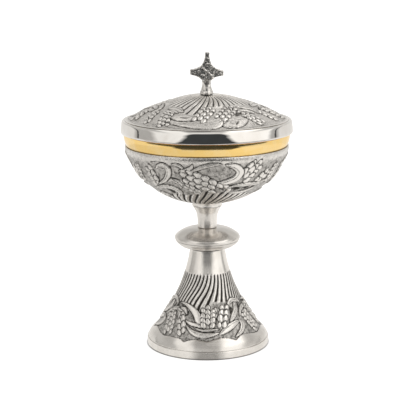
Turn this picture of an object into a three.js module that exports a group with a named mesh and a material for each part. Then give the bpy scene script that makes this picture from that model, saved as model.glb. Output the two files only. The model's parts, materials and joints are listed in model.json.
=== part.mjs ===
// Ciborium: a lidded liturgical cup on a lobed foot, in millimetres, +Z up.
// The origin is the centre of the circle on which the foot stands.
// Its pieces are turned, spun or cast shells, held on one axis by a tie rod.
// The lid is loose: it rests on the lip of the gilt cup and lifts straight off.
import * as THREE from 'three';

// ---- driving dimensions ----
const TOTAL_HEIGHT = 219;
const FOOT_RADIUS = 45.95;
const FOOT_RING_TOP = 5.7;
const FOOT_TOP = 73.3;
const FOOT_NECK_RADIUS = 13.1;
const KNOP_BASE = 75.3;
const KNOP_RADIUS = 24.3;
const KNOP_SEAM = 80.2;
const KNOP_TOP = 88.9;
const STEM_RADIUS = 7.25;
const STEM_TOP = 105.6;
const COLLAR_TOP = 109.7;
const BOWL_BASE = 110;
const BOWL_RIM = 151.6;
const LIP_TOP = 161;
const LID_BASE = 161.3;
const BAND_TOP = 170.3;
const DOME_BASE = 170.6;
const DOME_TOP = 188.2;
const CROSS_BASE = 198.9;
const CROSS_CENTRE = 204.3;
const CROSS_SPAN = 12.2;
const CROSS_THICKNESS = 3.2;
const CROSS_LEAN = THREE.MathUtils.degToRad(2);

const GAP = 0.3;
const SHELL_WALL = 1.2;
const LINER_WALL = 1.1;
const ROD_RADIUS = 2.5;
const ROD_HOLE = 2.9;
const ROD_BOTTOM = 63.5;
const STUD_RADIUS = 2;
const STUD_HOLE = 2.4;
const BOSS_RADIUS = 6;
const BOSS_HEIGHT = 5;

const WIDE_SEGMENTS = 36;
const NARROW_SEGMENTS = 28;
const SMALL_SEGMENTS = 20;
const HEXAGON = 6;

// ---- finishes ----
const finish = {
  agedSilver: () => new THREE.MeshStandardMaterial({ color: '#a39f97', roughness: 0.38, metalness: 1 }),
  satinSilver: () => new THREE.MeshStandardMaterial({ color: '#c3beb4', roughness: 0.3, metalness: 1 }),
  brightSilver: () => new THREE.MeshStandardMaterial({ color: '#d6d3cd', roughness: 0.12, metalness: 1 }),
  darkSilver: () => new THREE.MeshStandardMaterial({ color: '#7c7c78', roughness: 0.5, metalness: 1 }),
  gilt: () => new THREE.MeshStandardMaterial({ color: '#e8bf68', roughness: 0.14, metalness: 1 }),
  fastener: () => new THREE.MeshStandardMaterial({ color: '#b79a5e', roughness: 0.35, metalness: 1 }),
};

// ---- outline helpers: an outline is a list of [radius, height] ----
const vectors = (points) => points.map(([r, z]) => new THREE.Vector2(r, z));
const pairs = (points) => points.map((p) => [p.x, p.y]);
const smooth = (points, steps) => pairs(new THREE.SplineCurve(vectors(points)).getPoints(steps));

// Moves an outline sideways, to the left of its direction of travel.
function offset(points, distance) {
  return points.map(([r, z], i) => {
    const [r0, z0] = points[Math.max(i - 1, 0)];
    const [r1, z1] = points[Math.min(i + 1, points.length - 1)];
    const length = Math.hypot(r1 - r0, z1 - z0);
    return [r - (distance * (z1 - z0)) / length, z + (distance * (r1 - r0)) / length];
  });
}

// The part of a rising outline above a height, starting exactly at that height.
function above(points, height) {
  const i = points.findIndex(([, z]) => z > height);
  const [[r0, z0], [r1, z1]] = [points[i - 1], points[i]];
  const r = r0 + ((r1 - r0) * (height - z0)) / (z1 - z0);
  return [[r, height], ...points.slice(i)];
}

// Revolves an outline that travels upwards on its outer side about the Z axis.
function turned(name, outline, segments, material) {
  const [first, last] = [outline[0], outline[outline.length - 1]];
  const onAxis = first[0] === 0 && last[0] === 0;
  const loop = onAxis ? outline : [...outline, first];
  const geometry = new THREE.LatheGeometry(vectors(loop), segments);
  geometry.rotateX(Math.PI / 2);
  return named(name, geometry, material);
}

function named(name, geometry, material) {
  const mesh = new THREE.Mesh(geometry, material());
  mesh.name = name;
  return mesh;
}

const ring = (inner, outer, bottom, top) => [[outer, bottom], [outer, top], [inner, top], [inner, bottom]];
const rod = (radius, bottom, top) => [[0, bottom], [radius, bottom], [radius, top], [0, top]];

// ---- shared outlines ----
const FOOT_SIDE = smooth([
  [45.5, FOOT_RING_TOP + GAP], [43.1, 10], [38.3, 15], [33.7, 22], [28.9, 30],
  [23, 40], [18.9, 50], [15.7, 60], [13.6, 70], [FOOT_NECK_RADIUS, FOOT_TOP],
], 10);

const BOWL_SIDE = smooth([
  [16.3, BOWL_BASE], [24.2, 112], [31.6, 115], [41.2, 121], [50.1, 129],
  [54.9, 137], [59.05, 145], [60.4, 149], [60.3, BOWL_RIM],
], 9);

const DOME_SIDE = smooth([
  [60.3, DOME_BASE], [54, 172.8], [46, 177.2], [38, 180], [26, 184.6], [15.5, 187.4], [10, 188], [5, DOME_TOP],
], 8);

// ---- foot ----
function footBaseRing() {
  const edge = 0.5;
  const inner = FOOT_RADIUS - 7;
  return turned('foot_base_ring', [
    [FOOT_RADIUS - edge, 0], [FOOT_RADIUS - 0.1, edge], [FOOT_RADIUS, 3],
    [FOOT_RADIUS - 0.1, FOOT_RING_TOP - 0.5], [FOOT_RADIUS - 0.4, FOOT_RING_TOP],
    [FOOT_RADIUS - 3, FOOT_RING_TOP], [FOOT_RADIUS - 4, 2.4], [inner, 2.4], [inner, 0],
  ], WIDE_SEGMENTS, finish.satinSilver);
}

function footShell() {
  const inside = offset(FOOT_SIDE, SHELL_WALL).slice(1, -1).reverse();
  const ceiling = FOOT_TOP - SHELL_WALL;
  const edge = [FOOT_SIDE[0][0] - 2, FOOT_SIDE[0][1]];
  return turned('foot_shell', [
    ...FOOT_SIDE, [ROD_HOLE, FOOT_TOP], [ROD_HOLE, ceiling],
    [FOOT_NECK_RADIUS - SHELL_WALL, ceiling], ...inside, edge,
  ], WIDE_SEGMENTS, finish.agedSilver);
}

function tieFastening() {
  const ceiling = FOOT_TOP - SHELL_WALL;
  const washer = { top: ceiling - GAP, thickness: 1.2, radius: 9 };
  const nut = { top: washer.top - washer.thickness - GAP, height: 4, radius: 5.2 };
  return [
    turned('tie_washer', ring(ROD_HOLE, washer.radius, washer.top - washer.thickness, washer.top),
      SMALL_SEGMENTS, finish.fastener),
    turned('tie_nut', ring(ROD_HOLE, nut.radius, nut.top - nut.height, nut.top), HEXAGON, finish.fastener),
    turned('tie_rod', rod(ROD_RADIUS, ROD_BOTTOM, BOWL_BASE + BOSS_HEIGHT - GAP), SMALL_SEGMENTS, finish.fastener),
  ];
}

// ---- knop and stem ----
function knop() {
  const collar = [
    [13.8, FOOT_TOP + GAP], [14.8, FOOT_TOP + 0.9], [14.8, KNOP_BASE - GAP],
    [ROD_HOLE, KNOP_BASE - GAP], [ROD_HOLE, FOOT_TOP + GAP],
  ];
  const underside = smooth([
    [18, KNOP_BASE], [20.7, 76.3], [22.8, 78], [KNOP_RADIUS - 0.3, KNOP_SEAM - GAP],
  ], 4);
  const upside = smooth([
    [KNOP_RADIUS - 0.1, KNOP_SEAM], [KNOP_RADIUS, 81.1], [KNOP_RADIUS - 0.2, 82.9],
    [20.2, 86], [15, 88.1], [9, KNOP_TOP],
  ], 7);
  return [
    turned('knop_collar', collar, NARROW_SEGMENTS, finish.satinSilver),
    turned('knop_lower', [...underside, [ROD_HOLE, KNOP_SEAM - GAP], [ROD_HOLE, KNOP_BASE]],
      WIDE_SEGMENTS, finish.satinSilver),
    turned('knop_upper', [...upside, [ROD_HOLE, KNOP_TOP], [ROD_HOLE, KNOP_SEAM]],
      WIDE_SEGMENTS, finish.satinSilver),
  ];
}

function stem() {
  const bottom = KNOP_TOP + GAP;
  const side = [
    [STEM_RADIUS, bottom], ...smooth([[STEM_RADIUS, 94], [7.64, 98], [8.43, 101], [10, 104], [11, STEM_TOP]], 6),
  ];
  return turned('stem', [
    ...side, [ROD_HOLE, STEM_TOP], [ROD_HOLE, STEM_TOP - 2], [STEM_RADIUS - 1.4, STEM_TOP - 6],
    [STEM_RADIUS - 1.4, bottom],
  ], NARROW_SEGMENTS, finish.satinSilver);
}

// ---- cup ----
function cupCollar() {
  const bottom = STEM_TOP + GAP;
  return turned('cup_collar', [
    [11.3, bottom], [11.2, bottom + 1.2], [12.6, COLLAR_TOP], [ROD_HOLE, COLLAR_TOP], [ROD_HOLE, bottom],
  ], NARROW_SEGMENTS, finish.satinSilver);
}

function cupShell() {
  const hole = BOSS_RADIUS + GAP;
  const inside = offset(BOWL_SIDE, SHELL_WALL).slice(1, -1).reverse();
  return turned('cup_shell', [
    [hole, BOWL_BASE], ...BOWL_SIDE, [BOWL_SIDE.at(-1)[0] - SHELL_WALL, BOWL_RIM],
    ...inside, [hole, BOWL_BASE + SHELL_WALL],
  ], WIDE_SEGMENTS, finish.agedSilver);
}

function cupBoss() {
  return turned('cup_boss', ring(ROD_HOLE, BOSS_RADIUS, BOWL_BASE, BOWL_BASE + BOSS_HEIGHT),
    SMALL_SEGMENTS, finish.fastener);
}

// The gilt cup follows the inside of the shell and ends in the polished lip.
function cupLiner() {
  const floor = BOWL_BASE + BOSS_HEIGHT + GAP;
  const apart = SHELL_WALL + GAP + 0.1;
  const belowRim = ([, z]) => z < BOWL_RIM - 2;
  const outside = above(offset(BOWL_SIDE, apart), floor).filter(belowRim);
  const inside = above(offset(BOWL_SIDE, apart + LINER_WALL), floor + LINER_WALL).filter(belowRim);
  const lip = [
    [58.6, BOWL_RIM], [59.5, BOWL_RIM + GAP], [60.5, 154.6], [61.15, 157.4], [61.35, 159.2], [61.4, LIP_TOP - 0.4],
    [60.8, LIP_TOP], [60, LIP_TOP - 0.4], [59.2, 156], [57.5, BOWL_RIM],
  ];
  return turned('cup_liner', [
    [0, floor], ...outside, ...lip, ...inside.reverse(), [0, floor + LINER_WALL],
  ], WIDE_SEGMENTS, finish.gilt);
}

// ---- lid ----
const PAN_RADIUS = 58.3;

function lidRimBand() {
  return turned('lid_rim_band', [
    [63.2, LID_BASE], [63.4, LID_BASE + 0.6], [63.3, LID_BASE + 2.4], [63, LID_BASE + 5],
    [62.5, BAND_TOP - 1], [61.7, BAND_TOP], [PAN_RADIUS + GAP, BAND_TOP], [PAN_RADIUS + GAP, BAND_TOP - 1],
    [60.6, BAND_TOP - 1], [61.6, LID_BASE + 2.4], [62, LID_BASE],
  ], WIDE_SEGMENTS, finish.brightSilver);
}

function lidDome() {
  const inside = offset(DOME_SIDE, SHELL_WALL).filter(([, z]) => z > DOME_BASE + 0.1).reverse();
  return turned('lid_dome', [
    ...DOME_SIDE, [STUD_HOLE, DOME_TOP], [STUD_HOLE, DOME_TOP - SHELL_WALL], ...inside, [57, DOME_BASE],
  ], WIDE_SEGMENTS, finish.agedSilver);
}

// The gilt pan lines the dome; its short wall runs down inside the band.
function lidPan() {
  const bottom = LID_BASE + 1.5;
  const apart = SHELL_WALL + GAP + 0.1;
  const crown = DOME_TOP - apart;
  const under = ([r, z]) => r < PAN_RADIUS - 2 && z < crown;
  const outside = offset(DOME_SIDE, apart).filter(under);
  const inside = offset(DOME_SIDE, apart + LINER_WALL).filter(under).reverse();
  return turned('lid_pan', [
    [PAN_RADIUS, bottom], [PAN_RADIUS, 168], ...outside, [STUD_HOLE, crown],
    [STUD_HOLE, crown - LINER_WALL], ...inside, [PAN_RADIUS - LINER_WALL, 167.5],
    [PAN_RADIUS - LINER_WALL, bottom],
  ], WIDE_SEGMENTS, finish.gilt);
}

// Rests on the lip with its flange; its skirt enters the mouth and centres the lid.
function lidLocatingRing() {
  const skirt = PAN_RADIUS - 1.2;
  return turned('lid_locating_ring', [
    [PAN_RADIUS, 155.6], [PAN_RADIUS, LID_BASE], [61.6, LID_BASE], [61.4, LID_BASE + 1.2],
    [skirt, LID_BASE + 1.2], [skirt, 155.6],
  ], WIDE_SEGMENTS, finish.gilt);
}

// ---- finial ----
function finialNeck() {
  const bottom = DOME_TOP + GAP;
  const socketTop = bottom + 6;
  return turned('finial_neck', [
    [0, socketTop], [STUD_HOLE, socketTop], [STUD_HOLE, bottom],
    ...smooth([
      [4.7, bottom], [4.95, bottom + 1.1], [4.4, bottom + 2.9], [3.6, bottom + 4.9],
      [3.2, bottom + 7.4], [3.5, CROSS_BASE - GAP],
    ], 4),
    [0, CROSS_BASE - GAP],
  ], SMALL_SEGMENTS, finish.satinSilver);
}

// A flat four-pointed cross with concave sides, leaning a little to one side.
function finialCross() {
  const top = TOTAL_HEIGHT - CROSS_BASE;
  const arm = CROSS_CENTRE - CROSS_BASE;
  const [tipHalf, armHalf, footHalf] = [1.6, 1.9, 3.8];
  const outline = new THREE.Shape();
  outline.moveTo(footHalf, 0);
  outline.quadraticCurveTo(5.4, arm - armHalf - 0.9, CROSS_SPAN, arm - armHalf);
  outline.lineTo(CROSS_SPAN, arm + armHalf);
  outline.bezierCurveTo(4.6, arm + 3, 1.5, arm + 5.7, tipHalf, top);
  outline.lineTo(-tipHalf, top);
  outline.bezierCurveTo(-1.5, arm + 5.7, -4.6, arm + 3, -CROSS_SPAN, arm + armHalf);
  outline.lineTo(-CROSS_SPAN, arm - armHalf);
  outline.quadraticCurveTo(-5.4, arm - armHalf - 0.9, -footHalf, 0);
  const bevel = 0.4;
  const geometry = new THREE.ExtrudeGeometry(outline, {
    depth: CROSS_THICKNESS - 2 * bevel, curveSegments: 8, bevelSegments: 1,
    bevelThickness: bevel, bevelSize: bevel, bevelOffset: -bevel,
  });
  geometry.translate(0, 0, bevel - CROSS_THICKNESS / 2);
  geometry.rotateX(Math.PI / 2);
  const cross = named('finial_cross', geometry, finish.darkSilver);
  cross.position.z = CROSS_BASE + 0.1;
  cross.rotation.y = CROSS_LEAN;
  return cross;
}

function finialFastening() {
  const panUnder = DOME_TOP - SHELL_WALL - GAP - 0.1 - LINER_WALL;
  const washer = { top: panUnder - GAP, thickness: 1, radius: 5.5 };
  const nut = { top: washer.top - washer.thickness - GAP, height: 3.2, radius: 4.2 };
  return [
    turned('finial_washer', ring(STUD_HOLE, washer.radius, washer.top - washer.thickness, washer.top),
      SMALL_SEGMENTS, finish.gilt),
    turned('finial_nut', ring(STUD_HOLE, nut.radius, nut.top - nut.height, nut.top), HEXAGON, finish.gilt),
    turned('finial_stud', rod(STUD_RADIUS, nut.top - nut.height - 1, DOME_TOP + 6), SMALL_SEGMENTS,
      finish.fastener),
  ];
}

// ---- assembly ----
const vessel = new THREE.Group();
vessel.add(footBaseRing(), footShell(), ...tieFastening(), ...knop(), stem(), cupCollar());
vessel.add(cupShell(), cupBoss(), cupLiner());

const lid = new THREE.Group();
lid.add(lidRimBand(), lidDome(), lidPan(), lidLocatingRing());
lid.add(finialNeck(), finialCross(), ...finialFastening());

const ciborium = new THREE.Group();
ciborium.add(vessel, lid);

export default ciborium;
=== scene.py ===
"""Looks for the ciborium vessel: turned and chased pieces, silver and gilt, studio and camera.

Every piece takes its outline from its own CAD node, so it sits where the frame says. Lengths in the
ornament are millimetres along the outline, and angles are degrees round the axis, 0 at the front.
"""

import json
import math

import bmesh
import bpy
import numpy as np
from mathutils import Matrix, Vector, noise


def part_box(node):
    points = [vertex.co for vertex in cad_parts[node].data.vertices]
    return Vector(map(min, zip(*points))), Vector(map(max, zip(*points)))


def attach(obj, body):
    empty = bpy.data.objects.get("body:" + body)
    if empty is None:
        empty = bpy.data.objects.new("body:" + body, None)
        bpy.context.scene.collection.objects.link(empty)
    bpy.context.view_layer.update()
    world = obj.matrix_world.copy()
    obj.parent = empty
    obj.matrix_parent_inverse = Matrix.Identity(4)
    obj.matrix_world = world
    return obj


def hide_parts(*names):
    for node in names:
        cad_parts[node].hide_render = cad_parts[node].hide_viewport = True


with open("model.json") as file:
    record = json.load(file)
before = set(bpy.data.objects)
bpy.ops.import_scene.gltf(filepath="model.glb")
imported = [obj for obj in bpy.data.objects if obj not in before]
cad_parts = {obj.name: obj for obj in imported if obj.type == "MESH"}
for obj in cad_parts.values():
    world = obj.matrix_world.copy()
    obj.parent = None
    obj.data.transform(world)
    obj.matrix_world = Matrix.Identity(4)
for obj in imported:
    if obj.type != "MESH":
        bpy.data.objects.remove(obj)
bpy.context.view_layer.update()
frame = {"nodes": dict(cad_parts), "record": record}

MM = 0.001
SHARP_TURN = math.radians(38)
BEVEL_ANGLE = math.radians(30)
ON_AXIS = 1e-7

# ---- Camera: metres, its lens in millimetres ----
CAMERA_DISTANCE = 0.9017
CAMERA_HEIGHT = 0.299
CAMERA_SIDE = 0.0006
CAMERA_TILT = math.radians(12.24)
CAMERA_ROLL = math.radians(-0.3)
CAMERA_LENS = 107.07

# ---- Floor, in metres ----
FLOOR_RADIUS = 8.0
FLOOR_MIRRORED = 0.5
FLOOR_DARK_FROM = 0.33
FLOOR_FOOT_SHADE = 0.14
FLOOR_GAP = 0.0002
CONTACT_SHADE = 0.0016

# ---- Colours, linear ----
SILVER = (0.84, 0.82, 0.79)
BRIGHT_SILVER = (0.88, 0.85, 0.81)
WARM_SILVER = (0.74, 0.705, 0.66)
PATINA = (0.05, 0.046, 0.04)
COLD_PATINA = (0.06, 0.066, 0.07)
GOLD = (0.95, 0.66, 0.24)
WORN_GOLD = (0.96, 0.75, 0.4)
BRASS = (0.62, 0.44, 0.2)
BROWN_BRASS = (0.36, 0.24, 0.12)
ROOM_WHITE = (0.95, 0.94, 0.92)
ROOM_GAP = (0.08, 0.08, 0.08)
ROOM_FRONT = (0.052, 0.056, 0.058)


# ---- Outlines ----
def meridian(node):
    """The outline of a turned CAD node as (radius, height) rows in millimetres, upwards on its outer side.

    It follows the mesh's edges in the front half of the plane x = 0, and also says whether they close.
    """
    mesh = frame["nodes"][node].data
    keys = []
    for vertex in mesh.vertices:
        x, y, z = vertex.co
        in_front = abs(x) < 1e-6 and y < 1e-6
        keys.append((round(-y / MM, 3) + 0.0, round(z / MM, 3)) if in_front else None)
    links = {}
    for edge in mesh.edges:
        a, b = (keys[i] for i in edge.vertices)
        if a is not None and b is not None and a != b:
            links.setdefault(a, set()).add(b)
            links.setdefault(b, set()).add(a)
    ends = sorted((k for k in links if len(links[k]) == 1), key=lambda k: k[1])
    start = ends[0] if ends else min(links, key=lambda k: (k[1], -k[0]))
    path = [start]
    while True:
        onward = [k for k in sorted(links[path[-1]]) if k not in path]
        if not onward:
            break
        path.append(onward[0])
    outline = np.array(path, float)
    following = np.roll(outline, -1, axis=0)
    area = np.sum(outline[:, 0] * following[:, 1] - following[:, 0] * outline[:, 1])
    if not ends and area < 0:
        outline = outline[::-1]
    return outline, not ends


def turn_angles(outline, closed):
    """How far the outline turns at each of its points."""
    before = outline - np.roll(outline, 1, axis=0)
    after = np.roll(outline, -1, axis=0) - outline
    turn = np.arctan2(after[:, 1], after[:, 0]) - np.arctan2(before[:, 1], before[:, 0])
    turn = np.abs((turn + np.pi) % (2 * np.pi) - np.pi)
    if not closed:
        turn[[0, -1]] = np.pi
    return turn


def curve_through(points, steps):
    """A Catmull-Rom curve through the points, with the given number of steps in each span."""
    points = np.asarray(points, float)
    if len(points) < 3:
        return points
    padded = np.vstack([2 * points[0] - points[1], points, 2 * points[-1] - points[-2]])
    t = np.linspace(0, 1, steps, endpoint=False)[:, None]
    spans = []
    for a, b, c, d in zip(padded, padded[1:], padded[2:], padded[3:]):
        square = (2 * a - 5 * b + 4 * c - d) * t**2
        cube = (3 * b - a - 3 * c + d) * t**3
        spans.append(0.5 * (2 * b + (c - a) * t + square + cube))
    return np.vstack(spans + [points[-1:]])


def runs_of(outline, closed):
    """Splits an outline at its sharp corners, as lists of points that share their end points."""
    corners = np.flatnonzero(turn_angles(outline, closed) > SHARP_TURN)
    if closed:
        outline = np.roll(outline, -corners[0], axis=0)
        corners = np.append(corners - corners[0], len(outline))
        outline = np.vstack([outline, outline[:1]])
    return [outline[a : b + 1] for a, b in zip(corners, corners[1:])]


def rounded(outline, closed, radius, steps=5):
    """Rounds every sharp corner of an outline."""
    angles = turn_angles(outline, closed)
    points = []
    for i, point in enumerate(outline):
        is_end = not closed and i in (0, len(outline) - 1)
        before, after = outline[i - 1], outline[(i + 1) % len(outline)]
        if is_end or angles[i] < SHARP_TURN:
            points.append(point)
            continue
        to_before, to_after = before - point, after - point
        reach = min(radius, 0.4 * np.linalg.norm(to_before), 0.4 * np.linalg.norm(to_after))
        a = point + to_before / np.linalg.norm(to_before) * reach
        b = point + to_after / np.linalg.norm(to_after) * reach
        for t in np.linspace(0, 1, steps):
            points.append((1 - t) ** 2 * a + 2 * t * (1 - t) * point + t**2 * b)
    return np.array(points)


def fine_outline(node, radius):
    """A node's outline with its long stretches smoothed and its corners rounded."""
    outline, closed = meridian(node)
    smooth = []
    for run in runs_of(outline, closed):
        smooth.extend(curve_through(run, 6)[:-1])
    if not closed:
        smooth.append(outline[-1])
    return rounded(np.array(smooth), closed, radius), closed


def even_steps(points, spacing):
    """Points spaced evenly along a curve, with their distance along it."""
    lengths = np.concatenate([[0], np.cumsum(np.linalg.norm(np.diff(points, axis=0), axis=1))])
    along = np.linspace(0, lengths[-1], max(2, int(round(lengths[-1] / spacing)) + 1))
    return np.column_stack([np.interp(along, lengths, points[:, k]) for k in (0, 1)]), along


# ---- Meshes ----
def revolve(name, radii, heights, closed):
    """A mesh from grids of radius and height: a row per outline point, a column per step round the axis."""
    rows, columns = radii.shape
    angle = np.arange(columns) / columns * 2 * np.pi - np.pi
    x, y = radii * np.sin(angle), -radii * np.cos(angle)
    vertices = np.stack([x, y, heights], axis=-1).reshape(-1, 3) * MM
    index = np.arange(rows * columns).reshape(rows, columns)
    following = np.roll(index, -1, axis=1)
    if closed:
        low, high = index, np.roll(index, -1, axis=0)
        low_next, high_next = following, np.roll(following, -1, axis=0)
    else:
        low, high, low_next, high_next = index[:-1], index[1:], following[:-1], following[1:]
    faces = np.stack([low, low_next, high_next, high], axis=-1).reshape(-1, 4)
    mesh = bpy.data.meshes.new(name)
    mesh.from_pydata(vertices.tolist(), [], faces.tolist())
    if not closed:
        join_poles(mesh)
    mesh.validate()
    mesh.shade_smooth()
    piece = bpy.data.objects.new(name, mesh)
    bpy.context.scene.collection.objects.link(piece)
    return piece


def join_poles(mesh):
    """Merges the rows of vertices that lie on the axis into single points."""
    work = bmesh.new()
    work.from_mesh(mesh)
    poles = [v for v in work.verts if math.hypot(v.co.x, v.co.y) < ON_AXIS]
    bmesh.ops.remove_doubles(work, verts=poles, dist=ON_AXIS)
    work.to_mesh(mesh)
    work.free()


def turned_shape(node, columns=192, radius=0.35):
    """A CAD node turned again from its outline, with smooth stretches and rounded edges."""
    outline, closed = fine_outline(node, radius)
    ones = np.ones((1, columns))
    return revolve(node + "_turned", outline[:, :1] * ones, outline[:, 1:] * ones, closed)


def turned_piece(node, radius):
    """A turned shape whose edges have the given radius, evenly shaded."""
    piece = turned_shape(node, radius=radius)
    weigh_normals(piece)
    return piece


def weigh_normals(piece):
    """Lets large faces decide the shading, so that rounded edges look smooth."""
    modifier = piece.modifiers.new("weighted normals", "WEIGHTED_NORMAL")
    modifier.keep_sharp = True


def copy_of(node, name):
    """A copy of a CAD node with a mesh of its own."""
    piece = frame["nodes"][node].copy()
    piece.data = piece.data.copy()
    piece.name = name
    piece.parent = None
    bpy.context.scene.collection.objects.link(piece)
    return piece


def bevelled_copy(node, width=0.3):
    """A copy of a CAD node with its edges bevelled, for hexagonal nuts."""
    piece = copy_of(node, node + "_bevelled")
    bevel = piece.modifiers.new("edge", "BEVEL")
    bevel.width = width * MM
    bevel.segments = 3
    bevel.limit_method = "ANGLE"
    bevel.angle_limit = BEVEL_ANGLE
    piece.data.shade_smooth()
    weigh_normals(piece)
    return piece


def paint(piece, name, values):
    """Stores one number per vertex for the material to read."""
    attribute = piece.data.attributes.new(name, "FLOAT", "POINT")
    attribute.data.foreach_set("value", np.asarray(values, np.float32).ravel())


# ---- Relief ----
def smoothstep(low, high, value):
    """0 up to low, 1 from high on, and a smooth step between. It steps down where low is above high."""
    t = np.clip((value - low) / (high - low), 0, 1)
    return t * t * (3 - 2 * t)


def bell(distance, width):
    """1 at no distance, falling away smoothly over the width."""
    return np.exp(-((distance / width) ** 2))


class Relief:
    """A chased height field over the outer side of a turned shell.

    It has a row per step up the outline and a column per step round the axis. Height is in millimetres.
    Patina is the dark of the recesses, tarnish holds a darkening of the plain metal, and worked marks the
    chased area.
    """

    def __init__(self, radius, along, columns):
        self.radius, self.along, self.columns = radius, along, columns
        self.angle = np.arange(columns) / columns * 2 * np.pi - np.pi
        shape = (len(along), columns)
        self.height = np.zeros(shape)
        self.patina = np.zeros(shape)
        self.worked = np.zeros(shape)
        self.tarnish = np.zeros(shape)
        self.repeat_at = 0
        self.chance = np.random.default_rng(11)

    def placed(self, curve):
        """A curve's points, moved round to the repeat that is being laid."""
        return [(degrees + self.repeat_at, length) for degrees, length in curve]

    def window(self, degrees, lengths, margin):
        """The rows and columns round some points, with each vertex's angle from their middle."""
        middle = math.radians((min(degrees) + max(degrees)) / 2)
        rows = np.flatnonzero((self.along > min(lengths) - margin) & (self.along < max(lengths) + margin))
        offset = (self.angle - middle + np.pi) % (2 * np.pi) - np.pi
        reach = math.radians(max(degrees) - min(degrees)) / 2 + margin / self.radius[rows].min()
        columns = np.flatnonzero(np.abs(offset) < reach)
        return rows, columns, middle, offset[columns]

    def near_curve(self, curve, margin):
        """Signed distance to a curve and position along it, from 0 to 1, for the vertices round it."""
        points = curve_through(self.placed(curve), 7)
        rows, columns, middle, offset = self.window(points[:, 0], points[:, 1], margin)
        radius = self.radius[rows][:, None]
        # u is the way round the shell and v the way up it, first of the vertices, then along each span (d),
        # and from the span's start to the vertex (a)
        u, v = (offset[None] * radius)[..., None], self.along[rows][:, None, None]
        pu = (np.radians(points[:, 0]) - middle)[None] * radius
        pv = points[:, 1]
        du, dv = np.diff(pu, axis=1)[:, None], np.diff(pv)[None, None]
        au, av = u - pu[:, None, :-1], v - pv[None, None, :-1]
        t = np.clip((au * du + av * dv) / (du**2 + dv**2), 0, 1)
        square = (au - t * du) ** 2 + (av - t * dv) ** 2
        best = square.argmin(axis=2)[..., None]
        pick = lambda grid: np.take_along_axis(np.broadcast_to(grid, square.shape), best, axis=2)[..., 0]
        side = np.sign(pick(du) * pick(av) - pick(dv) * pick(au))
        position = (best[..., 0] + pick(t)) / (len(points) - 1)
        return np.ix_(rows, columns), side * np.sqrt(pick(square)), position

    def work(self, mask):
        """Counts an area as chased."""
        self.worked = np.maximum(self.worked, mask)

    def darken(self, amount):
        """Raises the patina to an amount where it is less."""
        self.patina = np.maximum(self.patina, amount)

    def lay(self, area, mask, height, patina):
        """Puts a raised form over what is there."""
        self.height[area] = self.height[area] * (1 - mask) + height * mask
        self.patina[area] = self.patina[area] * (1 - mask) + patina * mask

    def cut(self, area, groove, depth, dark=0.9):
        """Cuts a dark line into what is there."""
        self.height[area] -= depth * groove
        self.patina[area] = np.maximum(self.patina[area], dark * groove)

    def leaf(self, curve, width, height=0.8, belly=1.0, lean=0.12, vein=0.0, tone=0.0):
        """A pointed leaf along a curve. belly under 1 puts its widest place nearer the start."""
        area, distance, t = self.near_curve(curve, width / 2 + 1.5)
        half = width / 2 * np.sin(np.pi * np.clip(t, 0, 1) ** belly) ** 0.7 + 0.05
        edge = np.abs(distance) - half
        across = np.clip(np.abs(distance) / half, 0, 1)
        crown = height * (1 - 0.4 * across**3) + height * lean * distance / half
        self.cut(area, bell(edge - 0.2, 0.36), 0.5, 1.0)
        self.lay(area, smoothstep(0.15, -0.2, edge), crown, tone)
        if vein:
            line = bell(distance - vein * half, 0.24) * smoothstep(0.7, 1.3, half)
            self.cut(area, line, 0.3, 0.6)

    def recess(self, curve, width, depth=0.6, dark=0.8):
        """A sunk, dark pointed area."""
        area, distance, t = self.near_curve(curve, width / 2 + 1)
        half = width / 2 * np.sin(np.pi * t) ** 0.6 + 0.05
        self.cut(area, smoothstep(0.4, -0.8, np.abs(distance) - half), depth, dark)

    def line(self, curve, depth=0.3, width=0.3, dark=0.9):
        """A chased line that fades out at both ends."""
        area, distance, t = self.near_curve(curve, 1.6)
        self.cut(area, bell(distance, width) * smoothstep(0, 0.08, t) * smoothstep(1, 0.92, t), depth, dark)

    def hatch(self, ends, lean, reach, count):
        """Fine lines side by side, from one place to another, each leaning some degrees over its reach."""
        for degrees, length in np.linspace(ends[0], ends[1], count):
            self.line([(degrees, length), (degrees + lean, length + reach)], 0.2, 0.26, 0.6)

    def grain(self, degrees, length_at, turn, length, width, height=0.9):
        """One plump pointed grain, its long axis turned from the vertical by some degrees to the right."""
        rows, columns, _, offset = self.window([degrees], [length_at], length)
        u = offset[None] * self.radius[rows][:, None]
        v = self.along[rows][:, None] - length_at
        c, s = math.cos(math.radians(turn)), math.sin(math.radians(turn))
        a, b = np.abs(u * s + v * c) / (length / 2), np.abs(u * c - v * s) / (width / 2)
        reach = (a**1.5 + b**1.9) ** 0.59
        area = np.ix_(rows, columns)
        self.cut(area, bell(reach - 1.08, 0.15), 0.45, 1.0)
        crown = height * (1 - 0.7 * np.clip(reach, 0, 1) ** 2.6)
        self.lay(area, smoothstep(1.06, 0.94, reach), crown, 0.0)

    def ear(self, curve, ranks=3, size=(5.2, 3.7), spread=24):
        """A wheat ear: ranks of grains along a curve, the outer ones turned outwards."""
        path = curve_through(self.placed(curve), 8)
        radius = np.interp(path[:, 1], self.along, self.radius)
        step_u = np.radians(np.diff(path[:, 0])) * radius[:-1]
        step_v = np.diff(path[:, 1])
        length = np.concatenate([[0], np.cumsum(np.hypot(step_u, step_v))])
        count = max(2, round(length[-1] / (size[0] * 0.7)) + 1)
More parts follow.
